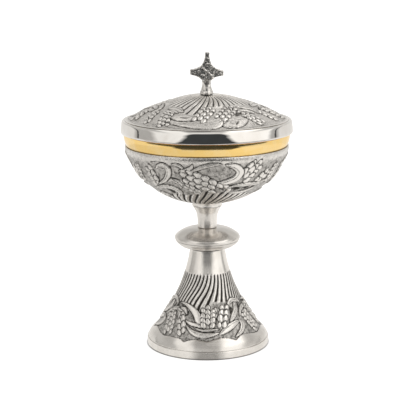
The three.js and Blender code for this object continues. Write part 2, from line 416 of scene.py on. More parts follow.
        # from the tip down, so that lower grains lie over higher ones
        for at in np.linspace(length[-1], 0, count):
            degrees, level_at = (np.interp(at, length, path[:, k]) for k in (0, 1))
            local = np.interp(at, length, radius)
            k = max(0, min(np.searchsorted(length, at), len(step_u)) - 1)
            ahead = np.array([step_u[k], step_v[k]]) / np.hypot(step_u[k], step_v[k])
            turn = math.degrees(math.atan2(ahead[0], ahead[1]))
            across = np.array([ahead[1], -ahead[0]])
            taper = 0.84 + 0.16 * math.sin(math.pi * at / length[-1])
            for rank in sorted(range(ranks), key=lambda r: -abs(r - (ranks - 1) / 2)):
                side = rank - (ranks - 1) / 2
                wobble = self.chance.uniform(-1, 1, 3)
                middle = size[0] * (0.45 * (rank % 2 if ranks > 2 else 0.5 * rank) + 0.05 * wobble[0])
                u, v = across * side * size[1] * 0.86 + ahead * middle
                place = degrees + math.degrees(u / local)
                swell = taper * (1 + 0.09 * wobble[1])
                tilt = turn + side * spread + 9 * wobble[2]
                self.grain(place, level_at + v, tilt, size[0] * swell, size[1] * swell)

    def flutes(self, count, swirl, low, high, floor, depth=0.9, groove=0.65, sway=0.0, sway_from=0.0):
        """S-curved flutes between two levels, ending at the floor.

        Groove is how high up their sides the dark goes. The swirl changes by the sway round each third of
        the circle, most strongly at one angle.
        """
        rows = self.along[:, None]
        swirl = swirl + sway * np.cos(3 * (self.angle - math.radians(sway_from)))[None]
        phase = (self.angle[None] - np.radians(swirl) * smoothstep(high, low, rows)) * count / 2
        rib = np.abs(np.sin(phase)) ** 0.9
        mask = smoothstep(high, high - 2.0, rows) * smoothstep(floor - 0.4, floor + 0.8, rows)
        self.height += mask * depth * (rib - 0.85)
        self.patina = self.patina * (1 - mask) + mask * smoothstep(groove + 0.18, groove - 0.18, rib)
        return mask

    def age(self, strength=0.8):
        """Darkens what lies lower than its surroundings."""
        low = blurred(self.height, self.cells(1.4)) - self.height
        self.patina = np.clip(np.maximum(self.patina, strength * smoothstep(0.1, 0.6, low)), 0, 1)

    def cells(self, length):
        """A length as a number of rows and a number of columns."""
        step = self.along[1] - self.along[0]
        return length / step, length / (self.radius.max() * 2 * np.pi / self.columns)


def blurred(grid, sizes):
    """A Gaussian blur with its own width, in cells, along rows and columns."""
    for axis, sigma in enumerate(sizes):
        reach = max(1, int(3 * sigma))
        weights = np.exp(-0.5 * (np.arange(-reach, reach + 1) / sigma) ** 2)
        weights /= weights.sum()
        mode = "wrap" if axis == 1 else "edge"
        pads = [(0, 0), (0, 0)]
        pads[axis] = (reach, reach)
        padded = np.pad(grid, pads, mode=mode)
        size = grid.shape[axis]
        grid = sum(w * np.take(padded, range(i, i + size), axis=axis) for i, w in enumerate(weights))
    return grid


def relief_piece(node, ornament, columns, spacing=0.5, seam=0.0):
    """A shell whose outer side is chased by an ornament function, closed by its plain inner side.

    The seam is how far its lowest edge reaches down to meet the piece below.
    """
    outline, closed = meridian(node)
    runs = runs_of(outline, closed)
    length = lambda run: np.linalg.norm(np.diff(run, axis=0), axis=1).sum()
    outer = max(range(len(runs)), key=lambda i: length(runs[i]) * runs[i][:, 0].max())
    side, along = even_steps(curve_through(runs[outer], 10), spacing)
    relief = Relief(side[:, 0], along, columns)
    ornament(relief)
    relief.height *= RELIEF_SCALE
    rest = np.vstack([run[1:] for run in runs[outer + 1 :] + runs[:outer]])[:-1]
    direction = np.gradient(side, axis=0)
    direction /= np.linalg.norm(direction, axis=1)[:, None]
    radii = side[:, :1] + relief.height * direction[:, 1:]
    heights = side[:, 1:] - relief.height * direction[:, :1]
    ones = np.ones((1, columns))
    radii = np.vstack([radii, rest[:, :1] * ones])
    heights = np.vstack([heights, rest[:, 1:] * ones])
    heights[0] -= seam
    piece = revolve(node + "_chased", radii, heights, closed)
    plain = np.zeros((len(rest), columns))
    paint(piece, "patina", np.vstack([relief.patina, plain]))
    paint(piece, "tarnish", np.vstack([relief.tarnish, plain]))
    worked = np.vstack([relief.worked, plain])
    corners = np.zeros(len(piece.data.loops), np.int32)
    piece.data.loops.foreach_get("vertex_index", corners)
    is_plain = worked.ravel()[corners].reshape(-1, 4).max(axis=1) < 0.5
    dress(piece, node)
    piece.data.materials.append(MATERIALS["satin_silver"])
    piece.data.polygons.foreach_set("material_index", is_plain.astype(np.int32))


# ---- Ornament ----
# Points are (degrees, millimetres up the outline). Each motif repeats three times round the axis.
REPEATS = (0, 120, -120)
REPEAT_ANGLE = 120

RELIEF_SCALE = 0.75
GROUND = -0.35
FOOT_SEAM = 0.28

# how dark the sunk ground is
FOOT_GROUND = 0.42
BOWL_GROUND = 0.38
LID_GROUND = 0.17

# the level on the bowl where its flutes are surely over
BOWL_MIDDLE = 46


def lay_repeats(relief, motifs):
    """Lays one repeat's motifs at each of its places round the axis."""
    for angle in REPEATS:
        relief.repeat_at = angle
        motifs(relief)


def level(relief, points):
    """A level that changes with the angle, given at some angles of one repeat."""
    degrees, lengths = zip(*points)
    return np.interp(np.degrees(relief.angle), degrees, lengths, period=REPEAT_ANGLE)[None]


def sink_ground(relief, mask, patina):
    """Lowers the ground between the motifs."""
    relief.work(mask)
    relief.height = relief.height * (1 - mask) + GROUND * mask
    relief.darken(patina * mask)


def foot_ornament(relief):
    """Flutes under a plain neck, wheat and leaves below them, and an undulating border over a plain edge."""
    border = level(relief, [
        (-60, 8.6), (-54, 8.1), (-44, 9), (-34, 9), (-29, 8.6), (-25, 7), (-22, 8.2), (-13, 10),
        (-5, 9), (-1, 8.3), (5, 9.6), (14, 11), (23, 10), (30.5, 7.8), (38, 10.4), (48, 10.4)])
    flute_floor = level(relief, [
        (-54, 36.5), (-39, 37), (-25, 33.5), (-15, 30), (-9, 31), (-2, 35.5), (4, 35.5),
        (9, 38), (34, 37), (42, 38.5), (56, 38)])
    rows = relief.along[:, None]
    motif_zone = smoothstep(border - 0.2, border + 0.5, rows) * smoothstep(41, 36, rows)
    sink_ground(relief, motif_zone, FOOT_GROUND)
    fluted = relief.flutes(41, -18, 31, 59, flute_floor, sway=-7, sway_from=-25)
    relief.work(fluted)
    edge = bell(rows - border, 0.5)
    relief.height -= 0.45 * edge
    relief.darken(0.95 * edge)
    # the plain metal gets darker towards the bottom of the foot
    relief.tarnish += 0.1 * smoothstep(16, 10, rows)
    lay_repeats(relief, foot_motifs)
    # a faint dullness lies over all of the chasing
    relief.darken(0.1 * relief.worked)
    relief.age()


def foot_motifs(relief):
    """One repeat of the foot's recesses, hatching, ears and leaves. Later forms lie over earlier ones."""
    relief.recess([(-60, 32.5), (-50, 33.6), (-40, 32)], 4, dark=0.5)
    relief.recess([(-35, 28), (-27, 28), (-19, 24.4)], 7, dark=0.5)
    relief.recess([(38, 33.5), (38.5, 31), (35, 27.5)], 3.4)
    relief.recess([(57, 34.6), (56, 31), (55, 28)], 3)
    relief.recess([(9, 33), (10, 27), (11, 21)], 3.4, dark=0.6)
    relief.recess([(-12, 33), (-9, 29), (-8, 24)], 2.4, dark=0.7)
    relief.hatch([(9.5, 34), (33, 34)], 0, 3.4, 11)
    relief.hatch([(-33, 10), (-14, 11)], -1, 3, 9)
    relief.hatch([(-62, 10), (-46, 10)], -1.5, 4, 6)
    relief.ear([(-51, 11.5), (-54, 18), (-58.5, 25)], ranks=3, size=(5, 3.4))
    relief.ear([(-32, 14), (-35.5, 20), (-40, 26)], ranks=2, size=(5.6, 4.1), spread=18)
    relief.leaf([(-71, 24), (-64, 28.5), (-53, 30.6), (-45, 28), (-42, 23)], 2.8, vein=0.2)
    relief.leaf([(-51, 30), (-43, 30.6), (-36, 31)], 2.6)
    relief.leaf([(-54, 35.6), (-37, 35), (-24, 32), (-15.4, 27.6), (-12.6, 22.6), (-16, 19.4)], 5, belly=1.5)
    relief.leaf([(-46, 31.6), (-38, 31.4), (-31, 27.6)], 2.4)
    relief.leaf([(-31, 23), (-23, 21.4), (-14.5, 20.4), (-4, 18.2)], 2.6)
    relief.leaf([(-17, 18.4), (-6, 16.6), (3, 17), (14, 17.4)], 1.8)
    relief.leaf([(-28, 19.6), (-20.5, 15.8), (-12, 13.6), (-3.5, 12.8), (4, 13.4), (14, 14.6)], 4, vein=0.2)
    relief.leaf([(35, 33), (38, 36), (46, 37.6), (56, 36.6), (65, 34)], 3.2, vein=-0.2)
    relief.leaf([(30, 21.5), (38, 25.6), (46, 30), (48.5, 35.6)], 4, vein=0.25)
    relief.leaf([(13, 13), (22, 16.4), (33, 19.4), (46, 21.6)], 4.8, vein=0.3)
    relief.leaf([(44, 22.4), (48, 18.4), (43, 14), (31, 9.8)], 3.8, vein=-0.2)
    relief.ear([(18, 20), (22, 26), (27, 32.5)], ranks=2, size=(5.8, 4.4), spread=10)
    relief.ear([(8.5, 24), (9.5, 28), (11, 31.5)], ranks=1, size=(5.6, 3.6))
    relief.ear([(0, 20.5), (0, 26), (0.4, 31)], ranks=3, size=(5.6, 4), spread=34)


def bowl_ornament(relief):
    """Flutes at the bottom, wheat and leaves above them, and a strip with no motifs under the lip."""
    rows = relief.along[:, None]
    ceiling = level(relief, [
        (-60, 33), (-45, 35), (-25, 38), (-18, 37), (-9, 39.5), (-2.5, 43), (1.5, 44),
        (8, 41.5), (17, 41.5), (30, 39), (39, 38), (50, 35)])
    sink_ground(relief, smoothstep(34, 38, rows) * smoothstep(74, 66, rows), BOWL_GROUND)
    relief.flutes(50, -13, 13, BOWL_MIDDLE, 12.5, groove=0.58)
    fade = smoothstep(ceiling + 1.5, ceiling - 1, rows)
    below = rows < BOWL_MIDDLE
    relief.height = np.where(below, relief.height * fade + GROUND * (1 - fade), relief.height)
    relief.patina = np.where(below, relief.patina * fade + BOWL_GROUND * (1 - fade), relief.patina)
    relief.work(smoothstep(12, 14, rows))
    relief.darken(0.16 * smoothstep(70, 72, rows))
    lay_repeats(relief, bowl_motifs)
    # painted shade: the left of each repeat is darker than its right
    left_side_shade = level(relief, [(-55, 0.15), (2, 0.15), (18, 0.0), (50, 0.0)]) * smoothstep(12, 16, rows)
    relief.darken(left_side_shade)
    relief.age()


def bowl_motifs(relief):
    """One repeat of the bowl's recesses, lines, ears and leaves."""
    relief.recess([(-38, 63.5), (-35.5, 59.5), (-41, 53)], 6, depth=0.15, dark=0.4)
    relief.recess([(-1, 61.6), (8, 61.8), (17, 62.2)], 13, depth=0.12, dark=0.42)
    relief.recess([(-40, 43.4), (-34, 42.6), (-33.5, 38)], 5)
    relief.recess([(20, 46.2), (25, 46), (30, 44.6)], 4.6)
    relief.recess([(31, 45.4), (36, 45.6), (40, 47)], 3)
    relief.recess([(-22, 67.4), (-18, 67), (-16, 65)], 2.6)
    relief.recess([(-24, 64), (-22, 60), (-16, 58)], 3, depth=0.3, dark=0.5)
    relief.line([(-43, 69), (-36, 70.5), (-28, 69.6)])
    relief.line([(-27, 61), (-25.5, 65), (-26, 69)], dark=0.6)
    relief.line([(46, 63), (50, 66), (55, 68)], dark=0.6)
    relief.ear([(-62, 51), (-62, 57), (-61, 63)], ranks=2, size=(4.8, 3.4))
    relief.ear([(-45.6, 49), (-45, 55.5), (-46, 62)], ranks=2, size=(6.8, 4.8), spread=14)
    relief.ear([(43.6, 53), (47, 56), (50.4, 59)], ranks=2, size=(5.2, 3.7))
    relief.ear([(28.4, 56.6), (32, 61.4), (36.6, 66.4)], ranks=3, size=(7.2, 4.7), spread=10)
    relief.leaf([(-39, 64), (-34.5, 67.4), (-29, 66.4), (-29, 60.8), (-34, 54.6), (-43, 49.6)], 4.2,
                vein=-0.25)
    relief.leaf([(-52, 44.4), (-38, 47.6), (-28.5, 46.2), (-25.5, 41), (-32, 34)], 4.4, vein=0.2)
    relief.leaf([(-60, 35), (-49, 37), (-41, 34)], 3.2)
    relief.leaf([(-32, 53), (-26.5, 55.6), (-22, 52), (-22, 47)], 3, vein=0.2)
    relief.leaf([(-26, 56.6), (-21.5, 54), (-20, 49)], 1.8)
    relief.leaf([(-24.5, 69.5), (-19.5, 68.6), (-15.5, 64.6)], 2.2)
    relief.leaf([(-20, 64.4), (-15.6, 64.4), (-11.4, 66.4), (-9.6, 70)], 3.2)
    relief.leaf([(-14.5, 62.6), (-7.5, 65.6), (-1, 68.4), (5, 69.8), (10, 70)], 3, vein=0.2)
    relief.leaf([(12.5, 69.4), (19.5, 67.4), (24.2, 62.6), (22, 57.2), (15, 54.2), (8, 52.8), (2, 53.6)],
                5.6, belly=0.75, vein=-0.3)
    relief.recess([(9, 47.6), (13, 46), (14.4, 43.6)], 2.6, dark=0.7)
    relief.leaf([(6.5, 50.4), (14.5, 50), (19, 45.6), (15.4, 40.6)], 3.4)
    relief.leaf([(17, 48.6), (26, 50), (36, 50), (47, 49.6), (57, 52.6)], 3.2, vein=0.2)
    relief.leaf([(20, 41.8), (29, 40.6), (38, 42), (45, 46)], 3.4, vein=-0.2)
    relief.ear([(-8, 43), (-13.5, 48), (-19, 53)], ranks=2, size=(6.4, 3.2))
    relief.ear([(7, 47.4), (-3, 53.6), (-13.5, 59)], ranks=3, size=(7.6, 5), spread=8)


def lid_ornament(relief):
    """Wheat and leaves round the edge, and flutes from them up to the finial."""
    rows = relief.along[:, None]
    flute_floor = level(relief, [
        (-58, 31), (-40, 31), (-32, 27.5), (-24, 22), (-13, 21.5), (-9.5, 24), (-3, 32),
        (6, 34), (12, 32), (23, 35), (37, 33), (52, 34)])
    sink_ground(relief, smoothstep(1.2, 2.2, rows) * smoothstep(34, 30, rows), LID_GROUND)
    fluted = relief.flutes(42, -14, 14, 58, flute_floor, depth=0.7, groove=0.42)
    relief.work(fluted)
    relief.work(smoothstep(0.6, 1.2, rows) * smoothstep(60, 58.5, rows))
    lay_repeats(relief, lid_motifs)
    relief.age()


def lid_motifs(relief):
    """One repeat of the lid's recesses, lines, ears and leaves."""
    relief.recess([(28, 18), (33, 21.4), (39, 21)], 4.4, dark=0.6)
    relief.recess([(44, 21), (48, 20.4), (50, 18)], 2.6, dark=0.5)
    relief.recess([(-52, 22), (-46, 22), (-40, 21)], 3, dark=0.45)
    relief.line([(-50, 3.4), (-38, 4), (-26, 4.4), (-12, 2.6)], dark=0.6)
    relief.line([(30, 3), (42, 3.6), (52, 4.6)], dark=0.6)
    relief.line([(36, 14.6), (33.6, 18), (29, 20.4)], dark=0.7)
    relief.hatch([(-48, 4.5), (-40, 4.5)], 1, 3, 5)
    relief.hatch([(36, 5), (54, 5)], -1, 3, 8)
    relief.ear([(-52, 7.5), (-55.5, 12.5), (-58, 18)], ranks=2, size=(5, 3.6))
    relief.ear([(-34, 6.4), (-38, 13.4), (-41, 21.4)], ranks=3, size=(5.2, 3.6))
    relief.ear([(46, 7), (43.4, 12.4), (40.4, 18)], ranks=3, size=(5.4, 3.4), spread=16)
    relief.leaf([(-52, 27.4), (-43, 28.6), (-34, 27.2), (-25.6, 24.4)], 5.4, height=0.6, vein=0.25)
    relief.leaf([(-46, 21.6), (-38, 24), (-31, 22.6)], 2.4)
    relief.leaf([(-32.5, 15), (-21, 16.2), (-8.6, 14.4)], 8, height=0.6, tone=0.1)
    relief.recess([(-24, 16), (-19.4, 15.6), (-15, 16)], 1.8, depth=0.4)
    relief.leaf([(-34, 9), (-21, 7.8), (-12, 7), (-3, 6.6), (4, 7.4), (9.4, 9.6), (13, 12)], 8.2,
                height=0.6, belly=1.7, vein=0.2, tone=0.1)
    relief.leaf([(12, 6.6), (19, 7.6), (27, 9.4), (36, 12.4)], 8.6, height=0.5, belly=0.85, tone=0.14)
    relief.recess([(17, 8.6), (20, 9.4), (25, 11.4)], 4, depth=0.25, dark=0.3)
    relief.recess([(27, 12), (24.4, 9), (22, 6.4)], 1.6, depth=0.4)
    relief.line([(16, 6.4), (18.4, 4.4), (23, 5.4)], dark=0.7)
    relief.leaf([(33, 23), (41, 24.6), (48, 23.4), (51, 18.4)], 3, vein=0.2)
    relief.leaf([(40, 31), (49.5, 28.4), (57, 24), (57, 17.6)], 3.2, vein=-0.2)
    relief.ear([(12.6, 16.6), (20, 22.8), (31, 29.6)], ranks=3, size=(6, 4), spread=14)
    relief.ear([(-6.6, 14), (-3.6, 21), (1.4, 28.6)], ranks=3, size=(6.4, 4.2), spread=12)


# ---- Materials ----
class Shader:
    """A node tree whose nodes are added by short calls: a metal's, or the world's."""

    def __init__(self, name, data=None):
        self.material = data or bpy.data.materials.new(name)
        self.material.use_nodes = True
        self.tree = self.material.node_tree
        self.principled = self.tree.nodes.get("Principled BSDF")
        if self.principled:
            self.principled.inputs["Metallic"].default_value = 1.0

    @classmethod
    def of_world(cls, name):
        world = bpy.data.worlds.new(name)
        bpy.context.scene.world = world
        return cls(name, world)

    def add(self, kind, inputs=None, **settings):
        node = self.tree.nodes.new(kind)
        for key, value in settings.items():
            setattr(node, key, value)
        for key, value in (inputs or {}).items():
            self.feed(node.inputs[key], value)
        return node

    def feed(self, socket, value):
        if isinstance(value, bpy.types.NodeSocket):
            self.tree.links.new(value, socket)
        else:
            socket.default_value = value

    def noise(self, scale, detail=3.0, where=None, distortion=0.0):
        inputs = {"Scale": scale, "Detail": detail, "Distortion": distortion}
        inputs["Vector"] = where or self.place()
        return self.add("ShaderNodeTexNoise", inputs).outputs["Fac"]

    def place(self, kind="Object"):
        """Where a point is on the object, or, in the world, the direction that is looked along."""
        return self.add("ShaderNodeTexCoord").outputs[kind]

    def number(self, operation, a, b=0.0, clamp=False):
        node = self.add("ShaderNodeMath", operation=operation, use_clamp=clamp)
        for socket, value in zip(node.inputs, (a, b)):
            self.feed(socket, value)
        return node.outputs[0]

    def between(self, value, low, high, out_low=0.0, out_high=1.0):
        """A ramp from one number to another while the value goes from low to high, and flat outside."""
        inputs = {"Value": value, "From Min": low, "From Max": high, "To Min": out_low, "To Max": out_high}
        return self.add("ShaderNodeMapRange", inputs).outputs["Result"]

    def blend(self, factor, a, b):
        """Colour a where the factor is 0, colour b where it is 1."""
        node = self.add("ShaderNodeMix", data_type="RGBA")
        self.feed(node.inputs["Factor"], factor)
        for socket, value in zip([s for s in node.inputs if s.type == "RGBA"], (a, b)):
            self.feed(socket, value if isinstance(value, bpy.types.NodeSocket) else (*value, 1.0))
        return [s for s in node.outputs if s.type == "RGBA"][0]

    def painted(self, name):
        """The numbers that paint() stored under a name."""
        attribute = self.add("ShaderNodeAttribute", attribute_name=name, attribute_type="GEOMETRY")
        return attribute.outputs["Fac"]

    def turning(self, scale=2600.0):
        """Fine rings round the axis, as a lathe tool leaves them."""
        x, y, z = self.parts_of(self.place())
        rings = self.add("ShaderNodeCombineXYZ", {"X": self.length_of(x, y), "Z": z}).outputs[0]
        return self.noise(scale, 2.0, rings)

    def parts_of(self, vector):
        return self.add("ShaderNodeSeparateXYZ", {"Vector": vector}).outputs

    def length_of(self, x, y):
        squares = self.number("MULTIPLY", x, x), self.number("MULTIPLY", y, y)
        return self.number("SQRT", self.number("ADD", *squares))

    def bumps(self, *layers):
        """Bump layers as (height, strength, distance in millimetres)."""
        normal = None
        for height, strength, distance in layers:
            inputs = {"Height": height, "Strength": strength, "Distance": distance * MM}
            if normal:
                inputs["Normal"] = normal
            normal = self.add("ShaderNodeBump", inputs).outputs["Normal"]
        self.feed(self.principled.inputs["Normal"], normal)

    def set(self, **values):
        """Feeds the metal's own sockets, with _ for a space in their names, and gives the material."""
        for key, value in values.items():
            self.feed(self.principled.inputs[key.replace("_", " ")], value)
        return self.material


def aged_silver():
    """Chased silver: bright on the high points, dark in the recesses, with a finely matted ground."""
    s = Shader("aged_silver")
    patina = s.painted("patina")
    mottle = s.noise(420.0, 4.0)
    fine = s.noise(1500.0, 3.0)
    ground = s.between(patina, 0.05, 0.25)
    grime = s.number("MULTIPLY", s.between(mottle, 0.4, 0.68, -0.1, 0.22), ground)
    speck_strength = s.between(ground, 0.0, 1.0, 0.3, 1.0)
    speck = s.number("MULTIPLY", s.between(fine, 0.5, 0.7, 0.0, 0.3), speck_strength)
    dark = s.number("ADD", s.number("ADD", patina, grime), speck, clamp=True)
    colour = s.blend(s.between(dark, 0.04, 0.85), BRIGHT_SILVER, PATINA)
    matting = s.add("ShaderNodeTexVoronoi", {"Scale": 1100.0, "Vector": s.place()}).outputs["Distance"]
    scatter = s.between(fine, 0.3, 0.7, -0.04, 0.06)
    roughness = s.number("ADD", s.between(dark, 0.0, 1.0, 0.2, 0.6), scatter)
    s.bumps((s.number("MULTIPLY", matting, ground), 0.6, 0.4), (fine, 0.1, 0.12))
    return s.set(Base_Color=colour, Roughness=roughness)


def satin_silver():
    """Plain turned silver: fine rings that spread reflections up and down, smudges, tarnish and painted edge
    shade.
    """
    s = Shader("satin_silver")
    smudge = s.noise(70.0, 4.0, distortion=0.4)
    rings = s.turning()
    clean = s.blend(s.between(smudge, 0.3, 0.75), BRIGHT_SILVER, WARM_SILVER)
    # the tarnish numbers also hold painted shade along the lowest edges of the foot ring and knop collar
    colour = s.blend(s.painted("tarnish"), clean, PATINA)
    ringed = s.between(rings, 0.3, 0.7, -0.04, 0.04)
    roughness = s.number("ADD", s.between(smudge, 0.3, 0.7, 0.19, 0.25), ringed)
    s.bumps((rings, 0.06, 0.1))
    return s.set(Base_Color=colour, Roughness=roughness, Anisotropic=0.85, Anisotropic_Rotation=0.25)


def polished_silver():
    """Mirror-polished silver with faint wipe marks."""
    s = Shader("polished_silver")
    wipes = s.noise(60.0, 5.0, distortion=1.0)
    colour = s.blend(s.between(wipes, 0.35, 0.75), SILVER, WARM_SILVER)
    s.bumps((s.turning(1500.0), 0.02, 0.08))
    return s.set(Base_Color=colour, Roughness=s.between(wipes, 0.3, 0.75, 0.02, 0.06))


def gilt():
    """Polished gold plate, a little paler where it is worn."""
    s = Shader("gilt")
    wear = s.noise(70.0, 4.0, distortion=0.6)
    rings = s.turning(1800.0)
    colour = s.blend(s.between(wear, 0.45, 0.8), GOLD, WORN_GOLD)
    ringed = s.between(rings, 0.3, 0.7, 0, 0.03)
    roughness = s.number("ADD", s.between(wear, 0.3, 0.75, 0.06, 0.12), ringed)
    s.bumps((rings, 0.04, 0.08))
    return s.set(Base_Color=colour, Roughness=roughness)


def cast_silver():
    """Cast, hammered and darkened silver, rubbed bright on its high spots."""
    s = Shader("cast_silver")
    patina = s.painted("patina")
    pits = s.noise(900.0, 4.0)
    dark = s.number("ADD", patina, s.between(pits, 0.38, 0.66, -0.2, 0.3), clamp=True)
    colour = s.blend(s.between(dark, 0.05, 0.9), BRIGHT_SILVER, COLD_PATINA)
    s.bumps((pits, 0.4, 0.3))
    return s.set(Base_Color=colour, Roughness=s.between(dark, 0.0, 1.0, 0.22, 0.5))


def fastener_brass():
    """Turned brass, dull and a little brown."""
    s = Shader("fastener_brass")
    tarnish = s.noise(220.0, 4.0)
    colour = s.blend(s.between(tarnish, 0.4, 0.75), BRASS, BROWN_BRASS)
    s.bumps((s.turning(), 0.12, 0.12))
    return s.set(Base_Color=colour, Roughness=s.between(tarnish, 0.3, 0.7, 0.24, 0.42))


MATERIALS = {make.__name__: make() for make in
             (aged_silver, satin_silver, polished_silver, gilt, cast_silver, fastener_brass)}


# ---- Pieces ----
# how dark the painted shade line along the lowest edge of a turned piece is
EDGE_SHADE = 0.85

# the stud's hole in the neck stays smooth: millimetres from the axis
NECK_HOLE = 2.9

# the middle of the ribbon, as a share of the cross's height
RIBBON_HEIGHT = 0.31

BODY_OF = {node: body for body, nodes in frame["record"]["behaviour"]["bodies"].items() for node in nodes}
SLOT_OF = {row["node"]: row["material_slot"] for row in frame["record"]["subparts"]}


def dress(piece, node):
    """Gives a piece its material and body, and lets it stand for its CAD node."""
    slot = SLOT_OF[node]
    piece.data.materials.clear()
    piece.data.materials.append(MATERIALS[slot])
    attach(piece, BODY_OF[node])
    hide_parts(node)


def shade_edge_and_tarnish(node, reach, elsewhere):
    """Paints shade on the lowest part of a turned piece, as a dark line where it sits on what is below, and
    darkens the rest of it evenly.
    """
    piece = bpy.data.objects[node + "_turned"]
    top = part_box(node)[0][2] + reach * MM
    vertices = piece.data.vertices
    paint(piece, "tarnish", [EDGE_SHADE if vertex.co.z < top else elsewhere for vertex in vertices])


def cross_piece():
    """The cast cross: remeshed from its CAD solid, hammered, with a raised ribbon across its faces."""
    node = "finial_cross"
    piece = copy_of(node, "finial_cross_cast")
    remesh = piece.modifiers.new("remesh", "REMESH")
    remesh.mode = "VOXEL"
    remesh.voxel_size = 0.28 * MM
    smooth = piece.modifiers.new("soften", "SMOOTH")
    smooth.iterations = 2
    bpy.context.view_layer.update()
    evaluated = piece.evaluated_get(bpy.context.evaluated_depsgraph_get())
    mesh = bpy.data.meshes.new_from_object(evaluated)
    piece.modifiers.clear()
    piece.data = mesh
    low, high = (Vector(corner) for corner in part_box(node))
    centre = Vector(((low.x + high.x) / 2, (low.y + high.y) / 2, low.z + RIBBON_HEIGHT * (high.z - low.z)))
    patina, moves = [], []
    for vertex in mesh.vertices:
        place = (vertex.co - centre) / MM
        ribbon = bell(ribbon_distance(place.x, place.z), 0.45) * (abs(vertex.normal.y) > 0.4)
        near, next_near = noise.voronoi(place * 0.62)[0][:2]
        dent = min(next_near - near, 0.6) / 0.6
        grain = noise.noise(place * 0.9) + 0.5 * noise.noise(place * 2.1)
        moves.append(0.3 * (dent - 0.5) + 0.12 * grain + 0.34 * ribbon)
        patina.append(np.clip(0.31 - 0.42 * dent + 0.9 * grain - 0.9 * ribbon, 0, 1))
    for vertex, normal, move in zip(mesh.vertices, [v.normal.copy() for v in mesh.vertices], moves):
        vertex.co += normal * move * MM
    mesh.shade_smooth()
    paint(piece, "patina", patina)
    return piece


def ribbon_distance(x, z):
    """Distance to the S-shaped ribbon that runs across the cross from upper left to lower right."""
    return (x + 0.72 * z + 1.1 * math.sin(z * 0.45) - 0.4) / 1.23


def neck_piece():
    """The finial's neck, hammered like the cross, with the cross's dark tail down its faces and painted
    shade at its foot.
    """
    piece = turned_shape("finial_neck", columns=144)
    low, high = (corner[2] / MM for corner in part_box("finial_neck"))
    patina = []
    for vertex in piece.data.vertices:
        x, y, z = vertex.co / MM
        up = (z - low) / (high - low)
        spots = noise.noise(Vector((x, y, z)) * 0.8) + 0.5 * noise.noise(Vector((x, y, z)) * 1.9)
        tail = smoothstep(0.7, -0.5, abs(x) - 2.3 * (up - 0.15)) * (up > 0.15)
        # painted shade: a dark line round the neck's foot, where it sits on the piece below
        foot_shade_line = bell(z - low, 0.5)
        patina.append(float(np.clip(0.34 * tail + 0.38 * spots + 0.15 + 0.8 * foot_shade_line, 0, 1)))
        push = -0.25 * tail + 0.14 * spots
        if math.hypot(x, y) > NECK_HOLE:
            vertex.co += vertex.normal * push * MM
    paint(piece, "patina", patina)
    return piece


def thread_piece(node, pitch, depth, columns=48, rows_per_turn=8, chamfer_width=0.6):
    """A threaded rod: the CAD rod's outline with a helical thread."""
    low, high = (np.array(corner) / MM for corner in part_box(node))
    radius = (high[0] - low[0]) / 2
    z = np.arange(low[2], high[2], pitch / rows_per_turn)
    z[-1] = high[2]
    angle = np.arange(columns) / columns * 2 * np.pi - np.pi
    phase = (z[:, None] / pitch - angle[None] / (2 * np.pi)) % 1
    chamfer = np.minimum(z - low[2], high[2] - z)[:, None].clip(0, chamfer_width) - chamfer_width
    radii = radius - depth * (1 - np.abs(2 * phase - 1)) + chamfer
    heights = z[:, None] * np.ones((1, columns))
    zero = np.zeros((1, columns))
    radii = np.vstack([zero, radii, zero])
    heights = np.vstack([zero + low[2], heights, zero + high[2]])
    return revolve(node + "_threaded", radii, heights, closed=False)


relief_piece("foot_shell", foot_ornament, columns=720, seam=FOOT_SEAM)
relief_piece("cup_shell", bowl_ornament, columns=840)
relief_piece("lid_dome", lid_ornament, columns=840)
dress(cross_piece(), "finial_cross")
dress(neck_piece(), "finial_neck")
dress(thread_piece("tie_rod", pitch=0.8, depth=0.42), "tie_rod")
dress(thread_piece("finial_stud", pitch=0.7, depth=0.36), "finial_stud")
for nut in ("tie_nut", "finial_nut"):
    dress(bevelled_copy(nut), nut)
TURNED = {"foot_base_ring": 0.8, "knop_collar": 0.5, "knop_lower": 0.5, "knop_upper": 0.5, "stem": 0.4,
          "cup_collar": 0.4, "cup_boss": 0.3, "cup_liner": 0.4, "lid_rim_band": 0.6, "lid_pan": 0.4,
          "lid_locating_ring": 0.3, "tie_washer": 0.3, "finial_washer": 0.25}
for node, edge in TURNED.items():
    dress(turned_piece(node, radius=edge), node)
# painted shade along the lowest edge of the foot ring, where it meets the floor, and of the knop collar; the
# knops are only darkened evenly
shade_edge_and_tarnish("foot_base_ring", reach=0.75, elsewhere=0.02)
shade_edge_and_tarnish("knop_collar", reach=0.5, elsewhere=0.1)
shade_edge_and_tarnish("knop_lower", reach=0.0, elsewhere=0.06)
shade_edge_and_tarnish("knop_upper", reach=0.0, elsewhere=0.08)


# ---- Studio ----
def camera():
    """A long lens from a little above, as the product view needs."""
    data = bpy.data.cameras.new("camera")
    data.lens = CAMERA_LENS
    data.clip_end = 50
    view = bpy.data.objects.new("camera", data)
    view.location = (CAMERA_SIDE, -CAMERA_DISTANCE, CAMERA_HEIGHT)
    view.rotation_mode = "ZYX"
    view.rotation_euler = (math.pi / 2 - CAMERA_TILT, 0, CAMERA_ROLL)
    bpy.context.scene.collection.objects.link(view)
    bpy.context.scene.camera = view


